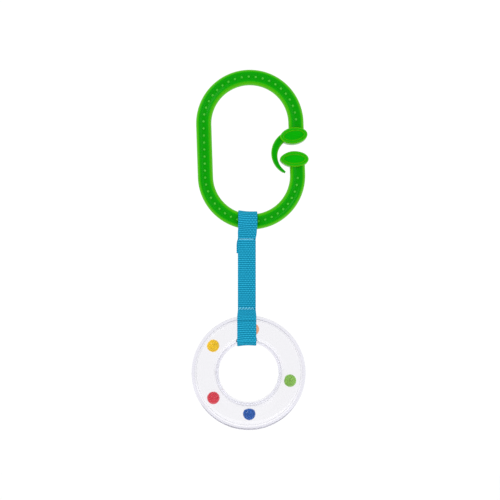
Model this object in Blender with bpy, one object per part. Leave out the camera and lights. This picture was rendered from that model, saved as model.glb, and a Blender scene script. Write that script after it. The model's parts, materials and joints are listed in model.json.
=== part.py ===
"""Baby rattle: a clip-on link, a sewn webbing strap and a clear ring with loose beads.

The rattle hangs in the XZ plane with its front towards -Y. The origin is the point of the link's
inner top edge that rests on the bar it hangs from. Lengths are in metres and angles in radians.
"""

import math

import bmesh
import bpy
from mathutils import Matrix, Vector, geometry

MM = 0.001
GAP = 0.3 * MM

# Link: a bar bent into an oval, with a mouth on its right side
BAR_RADIUS = 5.0 * MM
LINK_RADIUS = 30.0 * MM
LINK_TOP_CENTRE = (0.0, -25.0 * MM)
LINK_BOTTOM_CENTRE = (1.1 * MM, -58.9 * MM)
BAR_SIDES = 16
ARC_STEPS = 32

# End pads of the mouth, as centre, half width, half height and tilt
UPPER_PAD = (28.5 * MM, -33.2 * MM, 8.9 * MM, 5.35 * MM, math.radians(8.0))
LOWER_PAD = (28.8 * MM, -48.4 * MM, 9.3 * MM, 5.15 * MM, 0.0)
PAD_HALF_DEPTH = 6.0 * MM
PAD_EDGE_ROUND = 1.8 * MM
PAD_FACE_MARGIN = 1.9 * MM
PAD_FACE_DEPTH = 0.7 * MM

# Tongue: a hook that tapers along an arc inside the mouth
TONGUE_CENTRE = (29.0 * MM, -45.2 * MM)
TONGUE_RADIUS = 13.0 * MM
TONGUE_ROOT_ANGLE = math.radians(135.0)
TONGUE_TIP_ANGLE = math.radians(243.0)
TONGUE_ROOT_HALF = 2.4 * MM
TONGUE_TIP_HALF = 0.8 * MM
TONGUE_HALF_DEPTH = 4.0 * MM
TONGUE_STEPS = 20

# Strap: a tape sewn to itself below the link and above the ring
STRAP_X = -1.6 * MM
STRAP_HALF_WIDTH = 6.0 * MM
TAPE = 1.2 * MM
STRAP_HALF = 1.25 * MM
UPPER_SEAM_Z = -100.2 * MM
LOWER_SEAM_Z = -145.5 * MM
SEAM_TO_FOLD = 2.6 * MM
SEAM_TO_HOLE = 1.6 * MM
TAIL = 7.0 * MM
LAYER_GAP = 0.1 * MM
LOOP_SLICES = 8

# Stitching: a front and a back thread line, joined through holes in the tape
STITCHES = 5
THREAD_HALF = 0.3 * MM
SEAM_HALF_HEIGHT = 0.55 * MM
SEAM_HALF_WIDTH = 5.2 * MM

# Ring: a hollow tube of rounded oblong section, moulded as a front half and a rear half
RING_CENTRE = (-0.8 * MM, -186.9 * MM)
RING_RADIUS = 28.2 * MM
TUBE_HALF_WIDTH = 8.85 * MM
TUBE_HALF_DEPTH = 7.0 * MM
TUBE_CORNER = 3.8 * MM
SIDE_WALL = 2.4 * MM
FACE_WALL = 1.6 * MM
RING_STEPS = 72
CORNER_STEPS = 6

# Beads: each rests at its own angle round the ring, from +X towards +Z, and its own distance
# from the ring's axis
BEAD_RADIUS = 4.15 * MM
BEAD_PLACES = {
    "bead_orange": (math.radians(84.2), 28.2 * MM),
    "bead_yellow": (math.radians(143.1), 28.9 * MM),
    "bead_red": (math.radians(215.9), 28.3 * MM),
    "bead_blue": (math.radians(270.9), 27.0 * MM),
    "bead_green": (math.radians(348.8), 27.5 * MM),
}

FINISHES = {
    "link_green": ((0.035, 0.430, 0.006), 0.30, 1.0),
    "strap_blue": ((0.014, 0.300, 0.500), 0.80, 1.0),
    "thread_blue": ((0.150, 0.480, 0.650), 0.70, 1.0),
    "clear_plastic": ((0.900, 0.900, 0.940), 0.05, 0.25),
    "bead_orange": ((0.850, 0.300, 0.120), 0.25, 1.0),
    "bead_yellow": ((0.850, 0.500, 0.020), 0.25, 1.0),
    "bead_red": ((0.650, 0.050, 0.070), 0.25, 1.0),
    "bead_blue": ((0.025, 0.100, 0.420), 0.25, 1.0),
    "bead_green": ((0.200, 0.450, 0.070), 0.25, 1.0),
}


def clear_scene():
    for old in list(bpy.data.objects):
        bpy.data.objects.remove(old, do_unlink=True)


def finish(name):
    """The material of one finish, made when it is first asked for."""
    if name in bpy.data.materials:
        return bpy.data.materials[name]
    colour, roughness, alpha = FINISHES[name]
    material = bpy.data.materials.new(name)
    material.use_nodes = True
    shader = material.node_tree.nodes["Principled BSDF"]
    shader.inputs["Base Color"].default_value = (*colour, 1.0)
    shader.inputs["Roughness"].default_value = roughness
    shader.inputs["Metallic"].default_value = 0.0
    shader.inputs["Alpha"].default_value = alpha
    return material


def new_object(name, mesh_source, location=(0.0, 0.0, 0.0), finish_name=None, parent=None):
    """An object made from a bmesh, with smooth round surfaces and sharp edges."""
    bmesh.ops.recalc_face_normals(mesh_source, faces=mesh_source.faces[:])
    mesh = bpy.data.meshes.new(name)
    mesh_source.to_mesh(mesh)
    mesh_source.free()
    mesh.shade_smooth()
    mesh.set_sharp_from_angle(angle=math.radians(35.0))
    obj = bpy.data.objects.new(name, mesh)
    obj.location = location
    bpy.context.scene.collection.objects.link(obj)
    if finish_name:
        mesh.materials.append(finish(finish_name))
    if parent:
        obj.parent = parent
    return obj


def pivot(name, location, parent=None):
    """An empty on a joint's axis."""
    empty = bpy.data.objects.new(name, None)
    empty.location = location
    bpy.context.scene.collection.objects.link(empty)
    if parent:
        empty.parent = parent
        empty.location = Vector(location) - world_location(parent)
    return empty


def world_location(obj):
    place = Vector((0.0, 0.0, 0.0))
    while obj:
        place += obj.location
        obj = obj.parent
    return place


def as_helper(obj):
    obj.hide_render = True
    obj.display_type = "WIRE"
    return obj


def boolean(target, other, operation):
    """Adds another helper object to a target, or cuts the target with it."""
    modifier = target.modifiers.new(f"{operation.lower()}_{other.name}", "BOOLEAN")
    modifier.operation = operation
    modifier.solver = "EXACT"
    modifier.object = as_helper(other)


def in_front_plane(x, z, y=0.0):
    return Vector((x, y, z))


def closed_tube(rings):
    """A bmesh skin over a list of rings of points, with flat ends."""
    mesh = bmesh.new()
    loops = [[mesh.verts.new(point) for point in ring] for ring in rings]
    for first, second in zip(loops, loops[1:]):
        for i in range(len(first)):
            j = (i + 1) % len(first)
            mesh.faces.new((first[i], first[j], second[j], second[i]))
    mesh.faces.new(loops[0])
    mesh.faces.new(list(reversed(loops[-1])))
    return mesh


def link_path():
    """Centreline of the bar, from the upper pad round the top, left and bottom to the lower pad."""
    top = Vector(LINK_TOP_CENTRE)
    bottom = Vector(LINK_BOTTOM_CENTRE)
    lean = math.atan2(bottom.x - top.x, top.y - bottom.y)

    def arc(centre, start, end):
        turns = [start + (end - start) * i / ARC_STEPS for i in range(ARC_STEPS + 1)]
        return [centre + LINK_RADIUS * Vector((math.cos(a), math.sin(a))) for a in turns]

    down = (bottom - top).normalized()
    upper_arc = arc(top, lean, math.pi + lean)
    lower_arc = arc(bottom, math.pi + lean, 2 * math.pi + lean)
    upper_end = upper_arc[0] + down * (upper_arc[0].y - UPPER_PAD[1])
    lower_end = lower_arc[-1] - down * (LOWER_PAD[1] - lower_arc[-1].y)
    return [upper_end] + upper_arc + lower_arc + [lower_end]


def bar_rings(points):
    """Round sections square to a path in the front plane."""
    rings = []
    for i, point in enumerate(points):
        before = points[max(i - 1, 0)]
        after = points[min(i + 1, len(points) - 1)]
        along = (after - before).normalized()
        across = Vector((along.y, -along.x))
        ring = []
        for side in range(BAR_SIDES):
            turn = 2 * math.pi * side / BAR_SIDES
            offset = across * BAR_RADIUS * math.cos(turn)
            place = point + offset
            ring.append(in_front_plane(place.x, place.y, BAR_RADIUS * math.sin(turn)))
        rings.append(ring)
    return rings


def oval_block(name, half_width, half_height, half_depth, edge_round=0.0):
    """A flat oval lying in the front plane, with rounded edges if asked."""
    sides = 48
    rings = []
    levels = [(-half_depth, 0.0), (half_depth, 0.0)]
    if edge_round:
        steps = 4
        corner = [math.radians(90.0) * i / steps for i in range(steps + 1)]
        lower = [(-half_depth + edge_round * (1 - math.sin(a)), edge_round * (1 - math.cos(a)))
                 for a in reversed(corner)]
        levels = lower + [(-y, inset) for y, inset in reversed(lower)]
    for y, inset in levels:
        ring = []
        for side in range(sides):
            turn = 2 * math.pi * side / sides
            x = (half_width - inset) * math.cos(turn)
            z = (half_height - inset) * math.sin(turn)
            ring.append(in_front_plane(x, z, y))
        rings.append(ring)
    return new_object(name, closed_tube(rings))


def add_pad(link, name, pad):
    """Joins one end pad to the link and sinks a shallow oval into both of its faces."""
    x, z, half_width, half_height, tilt = pad
    block = oval_block(name, half_width, half_height, PAD_HALF_DEPTH, PAD_EDGE_ROUND)
    block.location = in_front_plane(x, z)
    block.rotation_euler.y = -tilt
    boolean(link, block, "UNION")
    for side, label in ((-1, "front"), (1, "rear")):
        recess = oval_block(f"{name}_{label}_recess", half_width - PAD_FACE_MARGIN,
                            half_height - PAD_FACE_MARGIN, PAD_FACE_DEPTH)
        recess.location = in_front_plane(x, z, side * PAD_HALF_DEPTH)
        recess.rotation_euler.y = -tilt
        boolean(link, recess, "DIFFERENCE")


def tongue_point(angle, offset=0.0):
    reach = TONGUE_RADIUS + offset
    x, z = TONGUE_CENTRE
    return Vector((x + reach * math.cos(angle), z + reach * math.sin(angle)))


def cylinder(name, radius, half_depth, sides=32):
    """A round block whose axis is Y."""
    mesh = bmesh.new()
    bmesh.ops.create_cone(mesh, cap_ends=True, segments=sides, radius1=radius, radius2=radius,
                          depth=2 * half_depth, matrix=Matrix.Rotation(math.radians(90.0), 4, "X"))
    return new_object(name, mesh)


def build_link():
    link = new_object("link_frame", closed_tube(bar_rings(link_path())), finish_name="link_green")
    add_pad(link, "upper_pad", UPPER_PAD)
    add_pad(link, "lower_pad", LOWER_PAD)
    root = tongue_point(TONGUE_ROOT_ANGLE)
    seat = cylinder("tongue_seat", TONGUE_ROOT_HALF + GAP, 2 * PAD_HALF_DEPTH)
    seat.location = in_front_plane(root.x, root.y)
    boolean(link, seat, "DIFFERENCE")
    return link


def build_tongue(link):
    """The tongue, with its round root on the hinge axis that stands for its flexing."""
    root = tongue_point(TONGUE_ROOT_ANGLE)
    hinge = pivot("tongue_hinge", in_front_plane(root.x, root.y), link)
    rings = []
    for i in range(TONGUE_STEPS + 1):
        share = i / TONGUE_STEPS
        angle = TONGUE_ROOT_ANGLE + (TONGUE_TIP_ANGLE - TONGUE_ROOT_ANGLE) * share
        half = TONGUE_ROOT_HALF + (TONGUE_TIP_HALF - TONGUE_ROOT_HALF) * share
        depth = TONGUE_HALF_DEPTH * (1.0 - 0.35 * share)
        ring = []
        for side in range(BAR_SIDES):
            turn = 2 * math.pi * side / BAR_SIDES
            offset = half * math.copysign(abs(math.cos(turn)) ** 0.6, math.cos(turn))
            y = depth * math.copysign(abs(math.sin(turn)) ** 0.6, math.sin(turn))
            place = tongue_point(angle, offset) - root
            ring.append(in_front_plane(place.x, place.y, y))
        rings.append(ring)
    tongue = new_object("link_tongue", closed_tube(rings), finish_name="link_green", parent=hinge)
    knuckle = cylinder("tongue_knuckle", TONGUE_ROOT_HALF, TONGUE_HALF_DEPTH)
    knuckle.parent = hinge
    boolean(tongue, knuckle, "UNION")
    return tongue


def rounded_oblong(half_width, half_depth, corner):
    """Points (y, out) round an oblong with round corners, centred on the origin."""
    points = []
    for quarter in range(4):
        for i in range(CORNER_STEPS + 1):
            turn = math.radians(90.0) * (quarter + i / CORNER_STEPS)
            y = math.copysign(half_depth - corner, math.cos(turn + 1e-6)) + corner * math.cos(turn)
            out = math.copysign(half_width - corner, math.sin(turn + 1e-6)) + corner * math.sin(turn)
            points.append((y, out))
    return points


def taut_outline(oblong, tip, tip_half):
    """The outline of a tape pulled tight round an oblong and a thin tip at out = tip."""
    points = oblong + [(-tip_half, tip), (tip_half, tip)]
    return [points[i] for i in geometry.convex_hull_2d(points)]


def wrapped_prism(outline, bar_out, centre_x, towards, half_width):
    """Thickens a (y, out) outline along X, bent across its width to follow a round bar.

    bar_out is the bar's distance from its own centre of curvature, on the towards side of it, so
    every point keeps its distance to the bar.
    """
    rings = []
    for i in range(LOOP_SLICES + 1):
        x = half_width * (2 * i / LOOP_SLICES - 1)
        across = x - centre_x
        ring = []
        for y, out in outline:
            reach = math.sqrt((bar_out + out) ** 2 - across ** 2)
            ring.append(Vector((x, y, towards * reach)))
        rings.append(ring)
    return closed_tube(rings)


def prism(outline, half_width):
    """A flat outline in the YZ plane, thickened along X."""
    return closed_tube([[Vector((x, y, z)) for y, z in outline] for x in (-half_width, half_width)])


def strap_box(name, z_low, z_high):
    """A straight stretch of both tape layers."""
    outline = [(-STRAP_HALF, z_low), (STRAP_HALF, z_low), (STRAP_HALF, z_high), (-STRAP_HALF, z_high)]
    return new_object(name, prism(outline, STRAP_HALF_WIDTH))


def sew(piece, name, seam_z, parent):
    """Makes holes through a strap piece and threads one row of stitching through them."""
    place = world_location(piece)
    row = pivot(f"{name}_row", (STRAP_X, 0.0, seam_z), parent)
    reach = STRAP_HALF + GAP + THREAD_HALF

    def block(label, half, at):
        mesh = bmesh.new()
        size = Matrix.Diagonal((2 * half[0], 2 * half[1], 2 * half[2], 1.0))
        bmesh.ops.create_cube(mesh, size=1.0, matrix=size)
        return new_object(label, mesh, at)

    line = (SEAM_HALF_WIDTH, THREAD_HALF, SEAM_HALF_HEIGHT)
    mesh = bmesh.new()
    bmesh.ops.create_cube(mesh, size=1.0, matrix=Matrix.Diagonal((*[2 * h for h in line], 1.0)))
    bmesh.ops.translate(mesh, verts=mesh.verts[:], vec=(0.0, -reach, 0.0))
    thread = new_object(name, mesh, finish_name="thread_blue", parent=row)
    back = block(f"{name}_back", line, (0.0, reach, 0.0))
    back.parent = row
    boolean(thread, back, "UNION")
    for i in range(STITCHES):
        x = SEAM_HALF_WIDTH * (2 * i / (STITCHES - 1) - 1) * 0.85
        post = block(f"{name}_post_{i + 1}", (THREAD_HALF, reach, THREAD_HALF), (x, 0.0, 0.0))
        post.parent = row
        boolean(thread, post, "UNION")
        half_hole = THREAD_HALF + GAP
        hole = block(f"{name}_hole_{i + 1}", (half_hole, 2 * STRAP_HALF, half_hole),
                     Vector((STRAP_X + x, 0.0, seam_z)))
        hole.location = Vector((STRAP_X + x, 0.0, seam_z)) - place + piece.location
        hole.parent = piece.parent
        boolean(piece, hole, "DIFFERENCE")
    return thread


def build_strap(link):
    slide = pivot("strap_slide_centre", in_front_plane(*LINK_BOTTOM_CENTRE), link)
    bar = (BAR_RADIUS, BAR_RADIUS, BAR_RADIUS)
    make_loop("strap_upper_loop", LINK_BOTTOM_CENTRE, LINK_RADIUS, -1.0, bar, UPPER_SEAM_Z, slide)

    upper_fold = pivot("upper_fold", (STRAP_X, 0.0, UPPER_SEAM_Z - SEAM_TO_FOLD), slide)
    build_middle(upper_fold)

    lower_fold = pivot("lower_fold", (STRAP_X, 0.0, LOWER_SEAM_Z + SEAM_TO_FOLD), upper_fold)
    tube = (TUBE_HALF_WIDTH, TUBE_HALF_DEPTH, TUBE_CORNER)
    make_loop("strap_lower_loop", RING_CENTRE, RING_RADIUS, 1.0, tube, LOWER_SEAM_Z, lower_fold)
    return lower_fold


def make_loop(name, curve_centre, bar_out, towards, section, seam_z, parent):
    """One loop of tape round a bent bar, with the flat stem in which both layers are sewn together.

    The bar's centreline runs bar_out from curve_centre, and towards says on which side of it the
    strap leaves: 1 for above, -1 for below.
    """
    def grown(amount):
        half_width, half_depth, corner = section
        return rounded_oblong(half_width + amount, half_depth + amount, corner + amount)

    seam_out = abs(seam_z - curve_centre[1]) - bar_out
    hole_tip = seam_out - SEAM_TO_HOLE
    outer_tip = seam_out - 0.5 * SEAM_TO_HOLE
    centre_x = curve_centre[0] - STRAP_X
    place = Vector((STRAP_X, 0.0, curve_centre[1])) - world_location(parent)

    outer = taut_outline(grown(GAP + TAPE), outer_tip, STRAP_HALF)
    loop = new_object(name, wrapped_prism(outer, bar_out, centre_x, towards, STRAP_HALF_WIDTH),
                      place, "strap_blue", parent)
    stem_start = seam_z - towards * (0.5 * SEAM_TO_HOLE + TAPE)
    stem_end = seam_z + towards * (SEAM_TO_FOLD - STRAP_HALF - GAP)
    stem = strap_box(f"{name}_stem", *sorted((stem_start, stem_end)))
    stem.location = Vector((STRAP_X, 0.0, 0.0)) - world_location(parent)
    stem.parent = parent
    boolean(loop, stem, "UNION")
    inner = taut_outline(grown(GAP), hole_tip, 0.05 * MM)
    hole = new_object(f"{name}_hole",
                      wrapped_prism(inner, bar_out, centre_x, towards, 1.1 * STRAP_HALF_WIDTH), place)
    hole.parent = parent
    boolean(loop, hole, "DIFFERENCE")
    label = name.split("_")[1]
    sew(loop, f"{label}_stitching", seam_z, parent)


def build_middle(upper_fold):
    """The stretch between the seams: one layer of tape, doubled at both ends by its sewn tails.

    Both ends are round about the two fold lines, so that they turn inside the neighbouring loops' ends.
    """
    length = (UPPER_SEAM_Z - SEAM_TO_FOLD) - (LOWER_SEAM_Z + SEAM_TO_FOLD)
    back_of_layer = -0.5 * LAYER_GAP
    steps = 12
    turns = [math.pi * i / steps for i in range(steps + 1)]
    top = [(STRAP_HALF * math.cos(turn), STRAP_HALF * math.sin(turn)) for turn in turns]
    bottom = [(-y, -length - z) for y, z in top]
    step_down = [(STRAP_HALF, -length + TAIL), (back_of_layer, -length + TAIL),
                 (back_of_layer, -TAIL), (STRAP_HALF, -TAIL)]
    return new_object("strap_middle", prism(top + bottom + step_down, STRAP_HALF_WIDTH),
                      (0.0, 0.0, 0.0), "strap_blue", upper_fold)


def shell_section(side):
    """Half of the tube's wall, as (distance from the ring's axis, y) points."""
    outer = rounded_oblong(TUBE_HALF_WIDTH, TUBE_HALF_DEPTH, TUBE_CORNER)
    inner = rounded_oblong(TUBE_HALF_WIDTH - SIDE_WALL, TUBE_HALF_DEPTH - FACE_WALL,
                           TUBE_CORNER - FACE_WALL)

    def half_of(points, half_width):
        arch = sorted((point for point in points if point[0] > 0), key=lambda point: point[1])
        ends = ((0.5 * GAP, -half_width), (0.5 * GAP, half_width))
        return [ends[0]] + arch + [ends[1]]

    outline = half_of(outer, TUBE_HALF_WIDTH)
    outline += reversed(half_of(inner, TUBE_HALF_WIDTH - SIDE_WALL))
    return [(RING_RADIUS + out, side * y) for y, out in outline]


def build_ring(lower_fold):
    hub = pivot("ring_axis", in_front_plane(*RING_CENTRE), lower_fold)
    for name, side in (("ring_front_shell", -1), ("ring_rear_shell", 1)):
        mesh = bmesh.new()
        section = shell_section(side)
        loops = []
        for step in range(RING_STEPS):
            turn = 2 * math.pi * step / RING_STEPS
            loops.append([mesh.verts.new((r * math.cos(turn), y, r * math.sin(turn)))
                          for r, y in section])
        for i, first in enumerate(loops):
            second = loops[(i + 1) % RING_STEPS]
            for j in range(len(section)):
                k = (j + 1) % len(section)
                mesh.faces.new((first[j], first[k], second[k], second[j]))
        new_object(name, mesh, finish_name="clear_plastic", parent=hub)
    return hub


def build_beads(hub):
    for name, (angle, reach) in BEAD_PLACES.items():
        axis = pivot(f"{name}_axis", world_location(hub), hub)
        mesh = bmesh.new()
        bmesh.ops.create_uvsphere(mesh, u_segments=24, v_segments=14, radius=BEAD_RADIUS)
        bmesh.ops.translate(mesh, verts=mesh.verts[:],
                            vec=(reach * math.cos(angle), 0.0, reach * math.sin(angle)))
        new_object(name, mesh, finish_name=name, parent=axis)


def main():
    clear_scene()
    link = build_link()
    build_tongue(link)
    lower_fold = build_strap(link)
    hub = build_ring(lower_fold)
    build_beads(hub)


main()
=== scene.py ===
"""Looks of the hanging baby rattle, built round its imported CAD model.

The rattle hangs in the XZ plane with its front towards -Y. Lengths are in metres, angles in radians.
"""

import json
import math

import bmesh
import bpy
from mathutils import Matrix, Vector, geometry


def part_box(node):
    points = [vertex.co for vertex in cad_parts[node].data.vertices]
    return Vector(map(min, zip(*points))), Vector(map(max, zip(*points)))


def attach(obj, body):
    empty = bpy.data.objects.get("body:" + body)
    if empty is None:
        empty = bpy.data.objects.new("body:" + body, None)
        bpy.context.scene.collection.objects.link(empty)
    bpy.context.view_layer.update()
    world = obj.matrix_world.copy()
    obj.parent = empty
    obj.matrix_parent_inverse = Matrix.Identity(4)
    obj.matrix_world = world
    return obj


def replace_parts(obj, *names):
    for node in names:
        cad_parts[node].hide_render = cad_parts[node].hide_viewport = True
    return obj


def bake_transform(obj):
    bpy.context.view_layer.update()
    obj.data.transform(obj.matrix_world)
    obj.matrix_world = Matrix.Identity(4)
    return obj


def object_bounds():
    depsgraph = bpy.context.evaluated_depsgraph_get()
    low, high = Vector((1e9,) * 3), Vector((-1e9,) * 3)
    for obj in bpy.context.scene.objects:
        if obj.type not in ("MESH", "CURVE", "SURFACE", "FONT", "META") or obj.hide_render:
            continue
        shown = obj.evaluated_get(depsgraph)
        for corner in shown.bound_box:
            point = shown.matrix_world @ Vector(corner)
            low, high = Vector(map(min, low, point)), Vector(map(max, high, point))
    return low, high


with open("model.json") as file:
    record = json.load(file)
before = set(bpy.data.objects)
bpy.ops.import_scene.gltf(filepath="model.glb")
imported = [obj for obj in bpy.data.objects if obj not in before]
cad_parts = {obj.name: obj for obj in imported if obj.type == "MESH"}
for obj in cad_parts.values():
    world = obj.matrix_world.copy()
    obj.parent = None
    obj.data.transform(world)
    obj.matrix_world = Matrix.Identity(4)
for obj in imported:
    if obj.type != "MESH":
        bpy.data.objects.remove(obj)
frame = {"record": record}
cad_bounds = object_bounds()

MM = 0.001
JOINTS = {joint["name"]: joint for joint in frame["record"]["behaviour"]["joints"]}


def joint_place(name):
    return Vector(JOINTS[name]["pos_m"])


# ---- places and sizes read from the frame ----

LINK_LOW, LINK_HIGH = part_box("link_frame")
BAR_RADIUS = LINK_HIGH[2] / 2
LINK_RADIUS = 30.0 * MM
LINK_TOP = Vector((0.0, 0.0, BAR_RADIUS - LINK_RADIUS))
LINK_BOTTOM = joint_place("strap_slide")
TONGUE_ROOT = joint_place("tongue_flex")
UPPER_FOLD = joint_place("upper_fold")
LOWER_FOLD = joint_place("lower_fold")
STRAP_X = UPPER_FOLD.x
UPPER_SEAM_LOW, UPPER_SEAM_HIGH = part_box("upper_stitching")
LOWER_SEAM_LOW, LOWER_SEAM_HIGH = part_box("lower_stitching")
UPPER_SEAM_Z = (UPPER_SEAM_LOW[2] + UPPER_SEAM_HIGH[2]) / 2
LOWER_SEAM_Z = (LOWER_SEAM_LOW[2] + LOWER_SEAM_HIGH[2]) / 2
STRAP_MIDDLE_Z = (UPPER_FOLD.z + LOWER_FOLD.z) / 2
RING = joint_place("ring_turn")
RING_LOW, RING_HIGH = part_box("ring_front_shell")
TUBE_HALF_DEPTH = -RING_LOW[1]
TUBE_HALF_WIDTH = 8.85 * MM
TUBE_CORNER = 3.8 * MM
RING_RADIUS = (RING_HIGH[0] - RING_LOW[0]) / 2 - TUBE_HALF_WIDTH

# ---- link ----

CHANNEL_HALF = 2.9 * MM
CHANNEL_DEPTH = 0.95 * MM
PIP_PITCH = 4.55 * MM
PIP_RADIUS = 0.85 * MM
PIP_HEIGHT = 0.60 * MM
PAD_HALF_DEPTH = LINK_HIGH[1]
UPPER_PAD = {"x": 28.5 * MM, "z": -33.2 * MM, "half": (8.9 * MM, 5.35 * MM), "tilt": 8.0, "point": 0.05}
LOWER_PAD = {"x": 28.8 * MM, "z": -48.4 * MM, "half": (9.3 * MM, 5.15 * MM), "tilt": 0.0, "point": 0.22}
PAD_RIM = 1.9 * MM
PAD_FACE_SINK = 0.75 * MM
TONGUE_CENTRE = Vector((29.0 * MM, 0.0, -45.2 * MM))
TONGUE_TIP_ANGLE = math.radians(243.0)
# How far the tongue starts inside the upper head, as a turn about its centre
TONGUE_HIDDEN_TURN = math.radians(26.0)
TONGUE_ROOT_HALF = 2.95 * MM
TONGUE_TIP_HALF = 0.85 * MM
TONGUE_ROOT_DEPTH = 4.0 * MM
TONGUE_TIP_DEPTH = 2.7 * MM
TONGUE_HOLLOW = 0.35 * MM

# ---- strap ----

TAPE = 1.05 * MM
TAPE_HALF_WIDTH = 5.7 * MM
LOOP_EXTRA_WIDTH = 0.30 * MM
LAYER_Y = 0.56 * MM
BAR_CLEARANCE = 0.55 * MM
RING_CLEARANCE = 0.35 * MM
TAIL_LENGTH = 9.2 * MM
LEAN_TOP = 0.30 * MM
LEAN_LOW = -0.35 * MM
TAIL_STRAY = 0.85 * MM
RIB_PITCH = 1.36 * MM
RIB_HEIGHT = 0.08 * MM
WARP_PITCH = 0.92 * MM
THREAD_RADIUS = 0.30 * MM
THREAD_LAY = 0.5 * MM
# How far the thread stands up between two stitch holes
THREAD_CROWN = 0.16 * MM

# ---- ring and beads ----

SIDE_WALL = 2.4 * MM
FACE_WALL = 1.6 * MM
SEAM_HALF_GAP = 0.02 * MM
# The two weld lines between the halves, as inner and outer radius
WELD_LINES = ((21.45 * MM, 21.72 * MM), (35.30 * MM, 36.20 * MM))
RING_STEPS = 192
# The darker and the lighter tone of each bead
BEAD_COLOURS = {
    "orange": ((0.76, 0.33, 0.16), (0.84, 0.42, 0.23)),
    "yellow": ((0.76, 0.44, 0.004), (0.86, 0.55, 0.008)),
    "red": ((0.58, 0.030, 0.048), (0.69, 0.045, 0.070)),
    "blue": ((0.010, 0.070, 0.320), (0.016, 0.100, 0.390)),
    "green": ((0.180, 0.400, 0.055), (0.240, 0.500, 0.085)),
}
# Painted glow: the beads give off light in their lighter tone, making up for light that barely reaches them
# through the clear ring
BEAD_PAINTED_GLOW = 0.35

# ---- studio ----

# The rattle's share of the picture's height
OBJECT_SHARE = 0.7204
CAMERA_DISTANCE = 0.68
FLOOR_RADIUS = 4.0
# How far the floor lies below the rattle, which hangs clear of it
FLOOR_DROP = 0.85
# The world's brightness from the front, where the camera stands, to the back
WORLD_LEVELS = ((0.0, 0.60), (0.16, 0.62), (0.36, 0.80), (0.60, 0.86), (0.97, 0.97))


# ---- small tools ----

def new_piece(name, source, smooth_angle=40.0):
    """An object made from a bmesh, smooth where its faces meet at less than smooth_angle degrees."""
    bmesh.ops.recalc_face_normals(source, faces=source.faces[:])
    mesh = bpy.data.meshes.new(name)
    source.to_mesh(mesh)
    source.free()
    for layer in mesh.uv_layers:
        layer.name = "UVMap"
    mesh.shade_smooth()
    mesh.set_sharp_from_angle(angle=math.radians(smooth_angle))
    piece = bpy.data.objects.new(name, mesh)
    bpy.context.scene.collection.objects.link(piece)
    return piece


def loft(source, rings, uv_rows=None, uv_columns=None, close_path=False):
    """Skins rings of points with quads, caps open ends, and gives each face uv = (column, row) places."""
    loops = [[source.verts.new(point) for point in ring] for ring in rings]
    uv_layer = source.loops.layers.uv.verify()
    sides = len(rings[0])
    columns = uv_columns or [i / sides for i in range(sides + 1)]
    rows = uv_rows or [i / len(rings) for i in range(len(rings) + 1)]
    spans = len(rings) if close_path else len(rings) - 1
    for i in range(spans):
        first = loops[i]
        second = loops[(i + 1) % len(loops)]
        for j in range(sides):
            k = (j + 1) % sides
            face = source.faces.new((first[j], first[k], second[k], second[j]))
            places = ((columns[j], rows[i]), (columns[j + 1], rows[i]),
                      (columns[j + 1], rows[i + 1]), (columns[j], rows[i + 1]))
            for corner, place in zip(face.loops, places):
                corner[uv_layer].uv = place
    if not close_path:
        source.faces.new(loops[0])
        source.faces.new(list(reversed(loops[-1])))
    return source


def smooth_route(controls, step):
    """Points about step apart on a smooth curve through the controls."""
    dense = []
    padded = [controls[0]] + list(controls) + [controls[-1]]
    for a, b, c, d in zip(padded, padded[1:], padded[2:], padded[3:]):
        pieces = max(2, int((c - b).length / step * 2))
        for i in range(pieces):
            t = i / pieces
            dense.append(0.5 * (2 * b + (c - a) * t + (2 * a - 5 * b + 4 * c - d) * t ** 2
                                + (3 * b - a - 3 * c + d) * t ** 3))
    dense.append(controls[-1])
    lengths = [0.0]
    for a, b in zip(dense, dense[1:]):
        lengths.append(lengths[-1] + (b - a).length)
    count = max(2, round(lengths[-1] / step))
    route, at = [], 0
    for i in range(count + 1):
        want = lengths[-1] * i / count
        while at < len(dense) - 2 and lengths[at + 1] < want:
            at += 1
        span = lengths[at + 1] - lengths[at]
        route.append(dense[at].lerp(dense[at + 1], (want - lengths[at]) / span if span else 0.0))
    return route


def join_to(piece, helpers):
    """Joins closed helper objects to the piece, then removes them."""
    for helper in helpers:
        modifier = piece.modifiers.new(helper.name, "BOOLEAN")
        modifier.operation = "UNION"
        modifier.solver = "EXACT"
        modifier.object = helper
    graph = bpy.context.evaluated_depsgraph_get()
    mesh = bpy.data.meshes.new_from_object(piece.evaluated_get(graph))
    piece.modifiers.clear()
    piece.data = mesh
    for helper in helpers:
        bpy.data.objects.remove(helper, do_unlink=True)


# ---- materials ----

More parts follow.
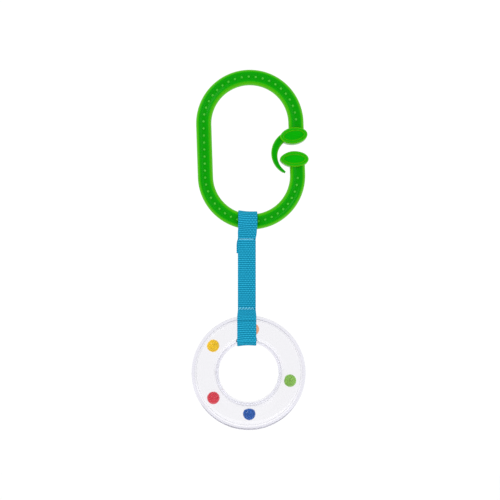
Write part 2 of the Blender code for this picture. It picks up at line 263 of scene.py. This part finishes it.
class Nodes:
    """A short way to write one material's node tree."""

    def __init__(self, name):
        self.material = bpy.data.materials.new(name)
        self.material.use_nodes = True
        self.tree = self.material.node_tree
        self.shader = self.tree.nodes["Principled BSDF"]
        self.output = self.tree.nodes["Material Output"]

    def add(self, kind, **settings):
        node = self.tree.nodes.new(kind)
        for key, value in settings.items():
            setattr(node, key, value)
        return node

    def link(self, start, end):
        self.tree.links.new(start, end)

    def set(self, **values):
        for key, value in values.items():
            self.shader.inputs[key.replace("_", " ")].default_value = value

    def noise(self, scale, detail=3.0, roughness=0.5):
        place = self.add("ShaderNodeTexCoord")
        noise = self.add("ShaderNodeTexNoise")
        noise.inputs["Scale"].default_value = scale
        noise.inputs["Detail"].default_value = detail
        noise.inputs["Roughness"].default_value = roughness
        self.link(place.outputs["Object"], noise.inputs["Vector"])
        return noise.outputs["Fac"]

    def ramp(self, value, stops):
        ramp = self.add("ShaderNodeValToRGB")
        while len(ramp.color_ramp.elements) < len(stops):
            ramp.color_ramp.elements.new(0.5)
        for element, (place, colour) in zip(ramp.color_ramp.elements, stops):
            element.position = place
            element.color = (*colour, 1.0)
        self.link(value, ramp.inputs["Fac"])
        return ramp.outputs["Color"]

    def math(self, operation, first, second=None):
        node = self.add("ShaderNodeMath", operation=operation)
        for socket, value in zip(node.inputs, (first, second)):
            if value is None:
                continue
            if isinstance(value, (int, float)):
                socket.default_value = value
            else:
                self.link(value, socket)
        return node.outputs[0]

    def painted_edge_highlight(self, colour, edge):
        """Painted highlight: the colour turns to the paler edge colour as the surface turns away from the
        front and back.
        """
        place = self.add("ShaderNodeTexCoord")
        split = self.add("ShaderNodeSeparateXYZ")
        self.link(place.outputs["Normal"], split.inputs["Vector"])
        facing = self.math("ABSOLUTE", split.outputs["Y"])
        return self.blend_to(colour, edge, self.ramp(facing, [(0.55, grey(1.0)), (0.985, grey(0.0))]))

    def painted_channel_shade(self, colour, channel):
        """Painted shade: the colour turns to the darker channel colour where |sin| of u is near 1. Sections
        are lofted with u once round them, so that |sin| of it is 1 along the front and back.
        """
        uv = self.add("ShaderNodeUVMap", uv_map="UVMap")
        split = self.add("ShaderNodeSeparateXYZ")
        self.link(uv.outputs["UV"], split.inputs["Vector"])
        turn = self.math("MULTIPLY", split.outputs["X"], 2 * math.pi)
        middle = self.math("ABSOLUTE", self.math("SINE", turn))
        return self.blend_to(colour, channel, self.ramp(middle, [(0.76, grey(0.0)), (0.93, grey(1.0))]))

    def blend_to(self, colour, other, amount):
        mix = self.add("ShaderNodeMix", data_type="RGBA")
        self.link(amount, mix.inputs["Factor"])
        self.link(colour, mix.inputs[6])
        mix.inputs[7].default_value = (*other, 1.0)
        return mix.outputs[2]

    def bump(self, height, strength, distance):
        bump = self.add("ShaderNodeBump")
        bump.inputs["Strength"].default_value = strength
        bump.inputs["Distance"].default_value = distance
        self.link(height, bump.inputs["Height"])
        self.link(bump.outputs["Normal"], self.shader.inputs["Normal"])


def grey(value):
    return (value, value, value)


def plastic(name, dark, light, specular, roughness=0.22, edge=None, channel=None, painted_glow=0.0):
    """Glossy moulded plastic: slow colour drift, faint flow marks and fine handling scuffs.

    The piece turns to the edge colour, a painted highlight, where its surface faces sideways, and to the
    channel colour, painted shade, along the middle of its front and back. Painted glow makes it give off
    light in its lighter tone.
    """
    nodes = Nodes(name)
    nodes.set(IOR=1.49, Specular_IOR_Level=specular)
    colour = nodes.ramp(nodes.noise(70.0, 2.0), [(0.3, dark), (0.7, light)])
    if edge:
        colour = nodes.painted_edge_highlight(colour, edge)
    if channel:
        colour = nodes.painted_channel_shade(colour, channel)
    nodes.link(colour, nodes.shader.inputs["Base Color"])
    # Painted glow: the piece gives off light in its lighter tone, though it is no lamp.
    if painted_glow:
        nodes.set(Emission_Strength=painted_glow)
        nodes.shader.inputs["Emission Color"].default_value = (*light, 1.0)
    scuffs = nodes.noise(900.0, 5.0, 0.65)
    rough = nodes.ramp(scuffs, [(0.35, grey(roughness * 0.8)), (0.75, grey(roughness * 1.35))])
    nodes.link(rough, nodes.shader.inputs["Roughness"])
    nodes.bump(nodes.noise(450.0, 4.0, 0.6), 0.12, 0.06 * MM)
    return nodes.material


def clear_plastic():
    """Clear polished plastic, with a faint lavender cast that deepens where the light's path is long."""
    nodes = Nodes("clear_plastic")
    nodes.set(Transmission_Weight=1.0, IOR=1.27)
    nodes.shader.inputs["Base Color"].default_value = (0.985, 0.983, 0.992, 1.0)
    haze = nodes.ramp(nodes.noise(260.0, 4.0, 0.6), [(0.4, grey(0.0)), (0.8, grey(0.02))])
    nodes.link(haze, nodes.shader.inputs["Roughness"])
    nodes.bump(nodes.noise(120.0, 2.0), 0.08, 0.08 * MM)
    absorption = nodes.add("ShaderNodeVolumeAbsorption")
    absorption.inputs["Color"].default_value = (0.70, 0.68, 0.86, 1.0)
    absorption.inputs["Density"].default_value = 28.0
    nodes.link(absorption.outputs["Volume"], nodes.output.inputs["Volume"])
    return nodes.material


def webbing():
    """Woven tape: weft ribs across it and warp yarns along it, in the piece's own tape coordinates."""
    nodes = Nodes("webbing_blue")
    nodes.set(Roughness=0.78, Specular_IOR_Level=0.06, Sheen_Weight=0.02, Sheen_Roughness=0.45)
    nodes.shader.inputs["Sheen Tint"].default_value = (0.45, 0.80, 0.95, 1.0)
    uv = nodes.add("ShaderNodeUVMap", uv_map="UVMap")
    split = nodes.add("ShaderNodeSeparateXYZ")
    nodes.link(uv.outputs["UV"], split.inputs["Vector"])
    across, along = split.outputs["X"], split.outputs["Y"]
    rib_turn = nodes.math("MULTIPLY", along, 2 * math.pi / RIB_PITCH)
    warp_turn = nodes.math("MULTIPLY", across, 2 * math.pi / WARP_PITCH)
    rib = nodes.math("COSINE", rib_turn)
    half_rib = nodes.math("COSINE", nodes.math("MULTIPLY", rib_turn, 0.5))
    warp = nodes.math("COSINE", warp_turn)
    checks = nodes.math("MULTIPLY", half_rib, nodes.math("COSINE", nodes.math("MULTIPLY", warp_turn, 0.5)))
    side = nodes.ramp(nodes.math("ADD", nodes.math("MULTIPLY", across, 0.5 / TAPE_HALF_WIDTH), 0.5),
                      [(0.45, grey(0.35)), (0.65, grey(1.0))])
    checks = nodes.math("MULTIPLY", checks, side)
    weave = nodes.math("ADD", nodes.math("MULTIPLY", rib, 0.55), nodes.math("MULTIPLY", warp, 0.10))
    weave = nodes.math("ADD", weave, nodes.math("MULTIPLY", checks, 0.50))
    height = nodes.math("ADD", weave, nodes.math("MULTIPLY", nodes.noise(1500.0, 2.0), 0.35))
    # Painted shade and highlight: the colour follows the weave's height, lighter on its crests and darker
    # in its grooves, with a random tone mixed in.
    shade = nodes.math("ADD", nodes.math("MULTIPLY", height, 0.55), 0.42)
    colour = nodes.ramp(shade, [(0.10, (0.001, 0.145, 0.262)), (0.45, (0.005, 0.295, 0.480)),
                                (0.90, (0.034, 0.480, 0.740))])
    nodes.link(colour, nodes.shader.inputs["Base Color"])
    nodes.bump(height, 0.55, 0.10 * MM)
    return nodes.material


def thread():
    """Twisted sewing thread, paler than the tape."""
    nodes = Nodes("thread_pale_blue")
    nodes.set(Roughness=0.6, Sheen_Weight=0.3)
    uv = nodes.add("ShaderNodeUVMap", uv_map="UVMap")
    split = nodes.add("ShaderNodeSeparateXYZ")
    nodes.link(uv.outputs["UV"], split.inputs["Vector"])
    lay = nodes.math("ADD", nodes.math("MULTIPLY", split.outputs["X"], 4 * math.pi),
                     nodes.math("MULTIPLY", split.outputs["Y"], 2 * math.pi / THREAD_LAY))
    twist = nodes.math("SINE", lay)
    # Painted shade and highlight: the colour follows the twist, lighter on the plies' crests and darker
    # between them.
    shade = nodes.math("ADD", nodes.math("MULTIPLY", twist, 0.3), 0.5)
    colour = nodes.ramp(shade, [(0.1, (0.080, 0.540, 0.790)), (0.9, (0.200, 0.740, 0.960))])
    nodes.link(colour, nodes.shader.inputs["Base Color"])
    nodes.bump(twist, 0.5, 0.05 * MM)
    return nodes.material


# ---- link ----

def link_centreline():
    """Points, and their outward directions, from the upper pad round to the lower pad."""
    down = LINK_BOTTOM - LINK_TOP
    lean = math.atan2(down.x, -down.z)
    steps = 110

    def arc(centre, start):
        turns = [start + math.pi * i / steps for i in range(steps + 1)]
        return [centre + LINK_RADIUS * Vector((math.cos(a), 0.0, math.sin(a))) for a in turns]

    upper_arc = arc(LINK_TOP, lean)
    lower_arc = arc(LINK_BOTTOM, math.pi + lean)
    down.normalize()
    upper_end = upper_arc[0] + down * (upper_arc[0].z - UPPER_PAD["z"])
    lower_end = lower_arc[-1] - down * (LOWER_PAD["z"] - lower_arc[-1].z)
    points = [upper_end] + upper_arc + lower_arc + [lower_end]
    outward = []
    for i in range(len(points)):
        along = (points[min(i + 1, len(points) - 1)] - points[max(i - 1, 0)]).normalized()
        outward.append(Vector((along.z, 0.0, -along.x)))
    return points, outward


def bar_outline():
    """Half-rounded bar section with a shallow channel in its front and its back, as (out, y) pairs."""
    outline = []
    sides = 64
    for side in range(sides):
        turn = 2 * math.pi * (side + 0.5) / sides
        out = BAR_RADIUS * math.copysign(abs(math.cos(turn)) ** 0.86, math.cos(turn))
        y = BAR_RADIUS * math.copysign(abs(math.sin(turn)) ** 0.86, math.sin(turn))
        if abs(out) < CHANNEL_HALF:
            sink = CHANNEL_DEPTH * math.sin(math.pi / 2 * (1 - abs(out) / CHANNEL_HALF)) ** 0.7
            flat = math.copysign(0.90 * BAR_RADIUS - sink, y)
            edge = abs(out) / CHANNEL_HALF
            y = flat * (1 - edge ** 3) + y * edge ** 3
        outline.append((out, y))
    return outline


def oval_pad(name, pad):
    """A flat oval head with a round rim and a sunken face on both sides."""
    profile = []
    for i in range(7):
        turn = math.radians(90.0) * i / 6
        profile.append((PAD_RIM * (1 - math.cos(turn)), PAD_HALF_DEPTH - PAD_RIM * (1 - math.sin(turn))))
    face_y = PAD_HALF_DEPTH - PAD_FACE_SINK
    profile += [(PAD_RIM, PAD_HALF_DEPTH - 0.08 * MM), (PAD_RIM + 0.35 * MM, face_y + 0.2 * MM),
                (PAD_RIM + 0.6 * MM, face_y), (PAD_RIM + 1.6 * MM, face_y),
                (PAD_RIM + 2.9 * MM, face_y + 0.05 * MM)]
    levels = [(inset, -y) for inset, y in reversed(profile)] + profile
    half_x, half_z = pad["half"]
    tilt = math.radians(pad["tilt"])
    rings = []
    for inset, y in levels:
        ring = []
        for side in range(72):
            turn = 2 * math.pi * side / 72
            narrow = 1.0 - pad["point"] * max(0.0, -math.cos(turn)) ** 2
            x = (half_x - inset) * math.cos(turn)
            z = (half_z - inset) * math.sin(turn) * narrow
            ring.append(Vector((pad["x"] + x * math.cos(tilt) - z * math.sin(tilt), y,
                                pad["z"] + x * math.sin(tilt) + z * math.cos(tilt))))
        rings.append(ring)
    # u stays 0 round the heads, so that the painted channel shade leaves them out.
    return new_piece(name, loft(bmesh.new(), rings, uv_columns=[0.0] * 73))


def pips(points):
    """One piece of all the small domes that stand in the channels."""
    source = bmesh.new()
    floor = 0.90 * BAR_RADIUS - CHANNEL_DEPTH
    bare_end = 2.3 * PIP_PITCH
    walked = 0.0
    next_at = bare_end
    total = sum((b - a).length for a, b in zip(points, points[1:]))
    for a, b in zip(points, points[1:]):
        span = (b - a).length
        while walked + span >= next_at and next_at < total - bare_end:
            place = a.lerp(b, (next_at - walked) / span)
            for side in (-1, 1):
                shape = Matrix.Translation(place + Vector((0.0, side * floor, 0.0)))
                shape @= Matrix.Diagonal((PIP_RADIUS, PIP_HEIGHT + 0.25 * MM, PIP_RADIUS, 1.0))
                shape @= Matrix.Rotation(math.radians(90.0), 4, "X")
                bmesh.ops.create_uvsphere(source, u_segments=14, v_segments=8, radius=1.0, matrix=shape)
            next_at += PIP_PITCH
        walked += span
    return new_piece("link_pips", source)


def build_link(material, pip_highlight_material):
    points, outward = link_centreline()
    outline = bar_outline()
    rings = [[point + out * away + Vector((0.0, y, 0.0)) for out, y in outline]
             for point, away in zip(points, outward)]
    link = new_piece("link_moulding", loft(bmesh.new(), rings))
    join_to(link, [oval_pad("upper_head", UPPER_PAD), oval_pad("lower_head", LOWER_PAD)])
    link.data.shade_smooth()
    link.data.set_sharp_from_angle(angle=math.radians(40.0))
    link.data.materials.clear()
    link.data.materials.append(material)
    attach(link, "link")
    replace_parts(link, "link_frame")
    domes = pips(points)
    domes.data.materials.append(pip_highlight_material)
    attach(domes, "link")


def build_tongue(material):
    """The hook inside the mouth: it starts inside the upper head."""
    arm = TONGUE_ROOT - TONGUE_CENTRE
    radius = arm.length
    root_angle = math.atan2(arm.z, arm.x)
    start_angle = root_angle - TONGUE_HIDDEN_TURN
    steps = 70
    rings = []
    for i in range(steps + 1):
        share = i / steps
        angle = start_angle + (TONGUE_TIP_ANGLE - start_angle) * share
        half = TONGUE_ROOT_HALF - (TONGUE_ROOT_HALF - TONGUE_TIP_HALF) * share ** 1.35
        depth = TONGUE_ROOT_DEPTH - (TONGUE_ROOT_DEPTH - TONGUE_TIP_DEPTH) * share
        if share > 0.97:
            half *= 0.8
            depth *= 0.9
        away = Vector((math.cos(angle), 0.0, math.sin(angle)))
        ring = []
        for side in range(40):
            turn = 2 * math.pi * (side + 0.5) / 40
            out = half * math.copysign(abs(math.cos(turn)) ** 0.75, math.cos(turn))
            y = depth * math.copysign(abs(math.sin(turn)) ** 0.6, math.sin(turn))
            hollow = max(0.0, 1.0 - abs(out / (half * 0.62)) ** 2)
            y -= math.copysign(TONGUE_HOLLOW * hollow * (1 - 0.5 * share), y)
            ring.append(TONGUE_CENTRE + away * (radius + out) + Vector((0.0, y, 0.0)))
        rings.append(ring)
    tongue = new_piece("tongue_moulding", loft(bmesh.new(), rings))
    tongue.data.materials.append(material)
    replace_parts(tongue, "link_tongue")
    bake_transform(tongue)


# ---- strap ----

def tape_piece(name, route, seams, wrap):
    """A ribbed tape along a route of (y, z) points.

    seams lists the lengths along it where thread pinches it, and wrap moves each point to its last place.
    """
    across = 26
    flat = [TAPE_HALF_WIDTH * (2 * i / across - 1) for i in range(across + 1)]
    lengths = [0.0]
    for a, b in zip(route, route[1:]):
        lengths.append(lengths[-1] + (b - a).length)
    selvedge = TAPE_HALF_WIDTH + 0.16 * MM
    outline = [(x, 1) for x in flat] + [(selvedge, 0)]
    outline += [(x, -1) for x in reversed(flat)] + [(-selvedge, 0)]
    columns = [x for x, _ in outline] + [-TAPE_HALF_WIDTH]
    rings = []
    for i, point in enumerate(route):
        along = (route[min(i + 1, len(route) - 1)] - route[max(i - 1, 0)]).normalized()
        normal = Vector((-along.y, along.x))
        rib = RIB_HEIGHT * math.cos(2 * math.pi * lengths[i] / RIB_PITCH)
        pinch = sum(math.exp(-((lengths[i] - seam) / (0.9 * MM)) ** 2) for seam in seams)
        narrow = 1.0 - 0.012 * pinch
        ring = []
        for x, side in outline:
            worn = 1.0 - 0.22 * (abs(x) / TAPE_HALF_WIDTH) ** 6
            height = side * (TAPE / 2 * worn + rib * worn - 0.10 * MM * pinch)
            y, z = point + normal * height
            place = Vector((STRAP_X + x * narrow, y, z))
            ring.append(wrap(place))
        rings.append(ring)
    return new_piece(name, loft(bmesh.new(), rings, uv_rows=lengths, uv_columns=columns), 60.0)


def oblong(half_width, half_depth, corner, steps=10):
    """Points (y, out) round an oblong with round corners, centred on the origin."""
    points = []
    for quarter in range(4):
        for i in range(steps + 1):
            turn = math.radians(90.0) * (quarter + i / steps)
            y = math.copysign(half_depth - corner, math.cos(turn + 1e-6)) + corner * math.cos(turn)
            out = math.copysign(half_width - corner, math.sin(turn + 1e-6)) + corner * math.sin(turn)
            points.append(Vector((y, out)))
    return points


def loop_controls(centre_z, section, clearance, seam_z, middle_z, tail_end_z):
    """(y, z) controls of a tape that comes from the strap's middle, goes round a bar and back to its tail.

    section is the bar's (half width, half depth, corner radius), and centre_z its middle.
    """
    towards = math.copysign(1.0, centre_z - seam_z)
    down = [Vector((-LAYER_Y, z)) for z in (middle_z, (middle_z + seam_z) / 2, seam_z - towards * 2.0 * MM,
                                            seam_z, seam_z + towards * 0.5 * MM)]
    grown = oblong(*[size + clearance + TAPE / 2 for size in section])
    tip = len(grown)
    reach = abs(centre_z - seam_z) - 0.5 * MM
    hull = geometry.convex_hull_2d(grown + [Vector((0.0, -reach))])
    at = hull.index(tip)
    round_bar = [grown[i] for i in hull[at + 1:] + hull[:at]]
    if round_bar[0].x > 0:
        round_bar.reverse()
    loop = [Vector((point.x, centre_z + towards * point.y)) for point in round_bar]
    tail = [Vector((LAYER_Y, z)) for z in (seam_z + towards * 0.5 * MM, seam_z, seam_z - towards * 2.0 * MM,
                                           (tail_end_z + seam_z) / 2, tail_end_z)]
    return down + loop + tail


def seam_lengths(route, seam_z):
    """The lengths along a route where it passes the height of a seam."""
    found, walked = [], 0.0
    for a, b in zip(route, route[1:]):
        if (a.y - seam_z) * (b.y - seam_z) <= 0:
            found.append(walked)
        walked += (b - a).length
    return found


def settle_on(curve_centre, seam_z, share):
    """A function that bends tape across its width, to lie on a bar curved about curve_centre.

    It also leans the strap a little, widens it round the bar, and lets its rear tail stray sideways.
    """
    towards = math.copysign(1.0, curve_centre.z - seam_z)

    def settle(place):
        past_seam = towards * (place.z - seam_z)
        on_bar = smooth(past_seam, 0.5 * MM, 4.0 * MM)
        widen = 1.0 + on_bar * LOOP_EXTRA_WIDTH / TAPE_HALF_WIDTH
        height = smooth(place.z, UPPER_SEAM_Z - 3.0 * MM, LINK_BOTTOM.z - LINK_RADIUS)
        lean = LEAN_LOW + (LEAN_TOP - LEAN_LOW) * height
        x = STRAP_X + (place.x - STRAP_X) * widen + lean
        if curve_centre is LINK_BOTTOM and place.y > 0:
            x -= TAIL_STRAY * smooth(-past_seam, -3.0 * MM, 4.0 * MM)
        across = x - curve_centre.x
        reach = abs(place.z - curve_centre.z)
        drop = reach - math.sqrt(max(reach ** 2 - across ** 2, 0.0))
        upwards = -math.copysign(1.0, place.z - curve_centre.z)
        return Vector((x, place.y, place.z + upwards * drop * share * on_bar))

    return settle


def smooth(value, low, high):
    share = min(1.0, max(0.0, (value - low) / (high - low)))
    return share * share * (3.0 - 2.0 * share)


def stitch_row(name, material, seam_z, low_x, high_x, zigzag, turns):
    """A zigzag of thread on the front, and a straighter one on the back, both sunk into the tape's face."""
    source = bmesh.new()
    face_y = LAYER_Y + TAPE / 2 - 0.08 * MM
    step = (high_x - low_x) / (2 * turns)
    for side in (-1, 1):
        controls = []
        for i in range(2 * turns + 1):
            x = low_x + step * i
            z = seam_z + zigzag * (0.5 if i % 2 else -0.5) * (1.0 if side < 0 else 0.6)
            controls.append(Vector((x, side * face_y, z)))
            if i < 2 * turns:
                controls.append(Vector((x + step / 2, side * (face_y + THREAD_CROWN), seam_z)))
        route = smooth_route(controls, 0.16 * MM)
        rings, lengths = [], [0.0]
        for a, b in zip(route, route[1:]):
            lengths.append(lengths[-1] + (b - a).length)
        for i, point in enumerate(route):
            along = (route[min(i + 1, len(route) - 1)] - route[max(i - 1, 0)]).normalized()
            first = along.cross(Vector((0.0, 1.0, 0.0))).normalized()
            second = along.cross(first)
            rings.append([point + THREAD_RADIUS * (first * math.cos(a) + second * math.sin(a))
                          for a in (2 * math.pi * k / 8 for k in range(8))])
        loft(source, rings, uv_rows=lengths)
    row = new_piece(name, source, 60.0)
    row.data.materials.append(material)
    return row


def build_strap(tape_material, thread_material):
    step = RIB_PITCH / 6
    bar_drop = math.sqrt(LINK_RADIUS ** 2 - (STRAP_X - LINK_BOTTOM.x) ** 2)
    upper_route = smooth_route(
        loop_controls(LINK_BOTTOM.z - bar_drop, (BAR_RADIUS, BAR_RADIUS, BAR_RADIUS), BAR_CLEARANCE,
                      UPPER_SEAM_Z, STRAP_MIDDLE_Z, UPPER_SEAM_Z - TAIL_LENGTH), step)
    lower_route = smooth_route(
        loop_controls(RING.z + RING_RADIUS, (TUBE_HALF_WIDTH, TUBE_HALF_DEPTH, TUBE_CORNER),
                      RING_CLEARANCE, LOWER_SEAM_Z, STRAP_MIDDLE_Z, LOWER_SEAM_Z + TAIL_LENGTH), step)
    upper = tape_piece("strap_upper_tape", upper_route, seam_lengths(upper_route, UPPER_SEAM_Z),
                       wrap=settle_on(LINK_BOTTOM, UPPER_SEAM_Z, 0.55))
    lower = tape_piece("strap_lower_tape", lower_route, seam_lengths(lower_route, LOWER_SEAM_Z),
                       wrap=settle_on(RING, LOWER_SEAM_Z, 0.5))
    for piece in (upper, lower):
        piece.data.materials.append(tape_material)
    upper_seam = stitch_row("upper_seam_thread", thread_material, UPPER_SEAM_Z,
                            STRAP_X - 5.3 * MM, STRAP_X + 3.9 * MM, 0.60 * MM, 9)
    lower_seam = stitch_row("lower_seam_thread", thread_material, LOWER_SEAM_Z,
                            STRAP_X - 5.6 * MM, STRAP_X + 4.3 * MM, 1.9 * MM, 5)
    for seam, node, body in ((upper_seam, "upper_stitching", "strap_top"),
                             (lower_seam, "lower_stitching", "strap_bottom")):
        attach(seam, body)
        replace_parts(seam, node)
    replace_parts(upper, "strap_upper_loop", "strap_middle")
    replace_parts(lower, "strap_lower_loop")
    for piece, bodies, fold, seam_z in ((upper, ("strap_top", "strap_mid"), UPPER_FOLD, UPPER_SEAM_Z),
                                        (lower, ("strap_bottom", "strap_mid"), LOWER_FOLD, LOWER_SEAM_Z)):
        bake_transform(piece)


# ---- ring ----

def shell_outline(side):
    """Half of the tube's wall, as (distance from the ring's axis, y) pairs."""
    def half_of(half_width, half_depth, corner):
        arch = [point for point in oblong(half_width, half_depth, corner, 16) if point.x > 0]
        arch.sort(key=lambda point: point.y)
        ends = [Vector((SEAM_HALF_GAP, -half_width)), Vector((SEAM_HALF_GAP, half_width))]
        return [ends[0]] + arch + [ends[1]]

    outer = half_of(TUBE_HALF_WIDTH, TUBE_HALF_DEPTH, TUBE_CORNER)
    inner = half_of(TUBE_HALF_WIDTH - SIDE_WALL, TUBE_HALF_DEPTH - FACE_WALL, TUBE_CORNER - FACE_WALL)
    return [(RING_RADIUS + point.y, side * point.x) for point in outer + inner[::-1]]


def turned_piece(name, section, material):
    """A part of the ring: a section of (distance from the ring's axis, y) pairs, swept right round."""
    rings = []
    for step in range(RING_STEPS):
        turn = 2 * math.pi * step / RING_STEPS
        rings.append([RING + Vector((r * math.cos(turn), y, r * math.sin(turn))) for r, y in section])
    piece = new_piece(name, loft(bmesh.new(), rings, close_path=True))
    piece.data.materials.append(material)
    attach(piece, "ring")
    return piece


def build_ring(material):
    for name, node, side in (("ring_front", "ring_front_shell", -1), ("ring_rear", "ring_rear_shell", 1)):
        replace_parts(turned_piece(name, shell_outline(side), material), node)


def build_weld(materials):
    """The thin frosted lines left in the side walls where the ring's halves are welded together."""
    half = 0.6 * SEAM_HALF_GAP
    for side, (inside, outside), material in zip(("inner", "outer"), WELD_LINES, materials):
        middle = (inside + outside) / 2
        section = ((inside, 0.0), (middle, -half), (outside, 0.0), (middle, half))
        turned_piece(f"ring_{side}_weld", section, material)


# ---- beads ----

def build_bead(name):
    """A moulded bead: a ball with a fine parting ridge and a small dimple at each pole."""
    low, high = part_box(f"bead_{name}")
    centre = (Vector(low) + Vector(high)) / 2
    radius = (high[0] - low[0]) / 2 - 0.06 * MM
    pole = Vector((0.0, 0.55, 0.835))
    across = Vector((1.0, 0.0, 0.0))
    forth = Vector((0.0, 0.835, -0.55))
    rows, sides = 36, 48
    turns = [2 * math.pi * side / sides for side in range(sides)]
    rings = []
    for i in range(1, rows):
        polar = math.pi * i / rows
        ridge = 0.05 * MM * math.exp(-((polar - math.pi / 2) / 0.035) ** 2)
        dimple = 0.35 * MM * math.exp(-(math.sin(polar) / 0.16) ** 2)
        reach = radius + ridge - dimple
        rings.append([centre + reach * (math.cos(polar) * pole + math.sin(polar)
                                        * (math.cos(turn) * across + math.sin(turn) * forth))
                      for turn in turns])
    dark, light = BEAD_COLOURS[name]
    material = plastic(f"bead_plastic_{name}", dark, light, specular=0.2, roughness=0.16, painted_glow=BEAD_PAINTED_GLOW)
    bead = new_piece(f"{name}_bead", loft(bmesh.new(), rings))
    bead.data.materials.append(material)
    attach(bead, name)
    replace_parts(bead, f"bead_{name}")


# ---- studio ----

def build_floor():
    source = bmesh.new()
    bmesh.ops.create_circle(source, cap_ends=True, segments=96, radius=FLOOR_RADIUS)
    floor = new_piece("studio_floor", source)
    floor.location.z = cad_bounds[0].z - FLOOR_DROP
    nodes = Nodes("pale_floor")
    nodes.set(Roughness=0.9)
    nodes.shader.inputs["Base Color"].default_value = (0.93, 0.93, 0.93, 1.0)
    nodes.shader.inputs["Emission Color"].default_value = (1.0, 1.0, 1.0, 1.0)
    nodes.shader.inputs["Emission Strength"].default_value = 0.26
    floor.data.materials.append(nodes.material)


def build_world():
    """White to the camera. To the object: bright all round, but dim in front, where the camera stands."""
    world = bpy.data.worlds.new("studio")
    bpy.context.scene.world = world
    world.use_nodes = True
    tree = world.node_tree
    tree.nodes.clear()
    place = tree.nodes.new("ShaderNodeTexCoord")
    split = tree.nodes.new("ShaderNodeSeparateXYZ")
    fade = tree.nodes.new("ShaderNodeValToRGB")
    while len(fade.color_ramp.elements) < len(WORLD_LEVELS):
        fade.color_ramp.elements.new(0.5)
    for element, (turn, strength) in zip(fade.color_ramp.elements, WORLD_LEVELS):
        element.position = turn
        element.color = (*grey(strength), 1.0)
    half = tree.nodes.new("ShaderNodeMath")
    half.operation = "MULTIPLY_ADD"
    half.inputs[1].default_value = 0.5
    half.inputs[2].default_value = 0.5
    seen = tree.nodes.new("ShaderNodeBackground")
    around = tree.nodes.new("ShaderNodeBackground")
    path = tree.nodes.new("ShaderNodeLightPath")
    mix = tree.nodes.new("ShaderNodeMixShader")
    output = tree.nodes.new("ShaderNodeOutputWorld")
    seen.inputs["Color"].default_value = (1.0, 1.0, 1.0, 1.0)
    seen.inputs["Strength"].default_value = 1.05
    around.inputs["Strength"].default_value = 1.0
    links = tree.links
    links.new(place.outputs["Generated"], split.inputs["Vector"])
    links.new(split.outputs["Y"], half.inputs[0])
    links.new(half.outputs["Value"], fade.inputs["Fac"])
    links.new(fade.outputs["Color"], around.inputs["Color"])
    links.new(path.outputs["Is Camera Ray"], mix.inputs["Fac"])
    links.new(around.outputs["Background"], mix.inputs[1])
    links.new(seen.outputs["Background"], mix.inputs[2])
    links.new(mix.outputs["Shader"], output.inputs["Surface"])


def build_light(name, place, target, size, power):
    light = bpy.data.lights.new(name, "AREA")
    light.shape = "RECTANGLE"
    light.size, light.size_y = size
    light.energy = power
    lamp = bpy.data.objects.new(name, light)
    lamp.location = place
    lamp.rotation_euler = (Vector(target) - Vector(place)).to_track_quat("-Z", "Y").to_euler()
    bpy.context.scene.collection.objects.link(lamp)


def build_camera():
    """Square on to the rattle's front, framed by where its top and the ring's lowest rim are seen."""
    low, high = cad_bounds
    centre = (low + high) / 2
    distance = CAMERA_DISTANCE
    rim_y = TUBE_HALF_DEPTH - TUBE_CORNER
    seen_low = centre.z + (low.z - centre.z) * distance / (distance - rim_y)
    centre.z = (high.z + seen_low) / 2
    frame_height = (high.z - seen_low) / OBJECT_SHARE
    data = bpy.data.cameras.new("camera")
    data.sensor_width = 36.0
    data.lens = data.sensor_width * distance / frame_height
    camera = bpy.data.objects.new("camera", data)
    camera.location = (centre.x, -distance, centre.z)
    camera.rotation_euler = (math.radians(90.0), 0.0, 0.0)
    bpy.context.scene.collection.objects.link(camera)
    bpy.context.scene.camera = camera
    return centre


def build_studio():
    centre = build_camera()
    build_floor()
    build_world()
    build_light("key", (-0.55, -0.55, 0.45), centre, (0.5, 0.5), 2.4)
    build_light("fill", (0.60, -0.50, 0.10), centre, (0.5, 0.7), 1.2)
    bpy.context.scene.view_settings.view_transform = "Standard"
    bpy.context.scene.view_settings.look = "None"


def main():
    build_studio()
    # Painted highlight and painted shade: the link turns to a paler lime where its surface faces sideways
    # and to a darker green along the middle of its channels.
    green = plastic("link_plastic", (0.001, 0.395, 0.0002), (0.002, 0.445, 0.0005),
                    specular=0.06, edge=(0.090, 0.500, 0.001), channel=(0.002, 0.350, 0.0005))
    # Painted highlight: the pips get a paler green than the link, though they are the same plastic.
    pip_painted_highlight = plastic("pip_painted_highlight_plastic", (0.060, 0.520, 0.030), (0.085, 0.580, 0.045), specular=0.1)
    build_link(green, pip_painted_highlight)
    build_tongue(green)
    build_strap(webbing(), thread())
    build_ring(clear_plastic())
    # Painted glow: both weld lines give off light, the inner one more strongly; the outer one is also given
    # a darker tone, painted shade.
    build_weld((
        plastic("inner_weld_frost_painted_glow", (0.80, 0.80, 0.84), (0.87, 0.87, 0.91),
                specular=0.1, roughness=0.5, painted_glow=0.5),
        plastic("outer_weld_frost_painted_glow", (0.66, 0.66, 0.71), (0.74, 0.74, 0.79),
                specular=0.1, roughness=0.5, painted_glow=0.25),
    ))
    for name in BEAD_COLOURS:
        build_bead(name)


main()
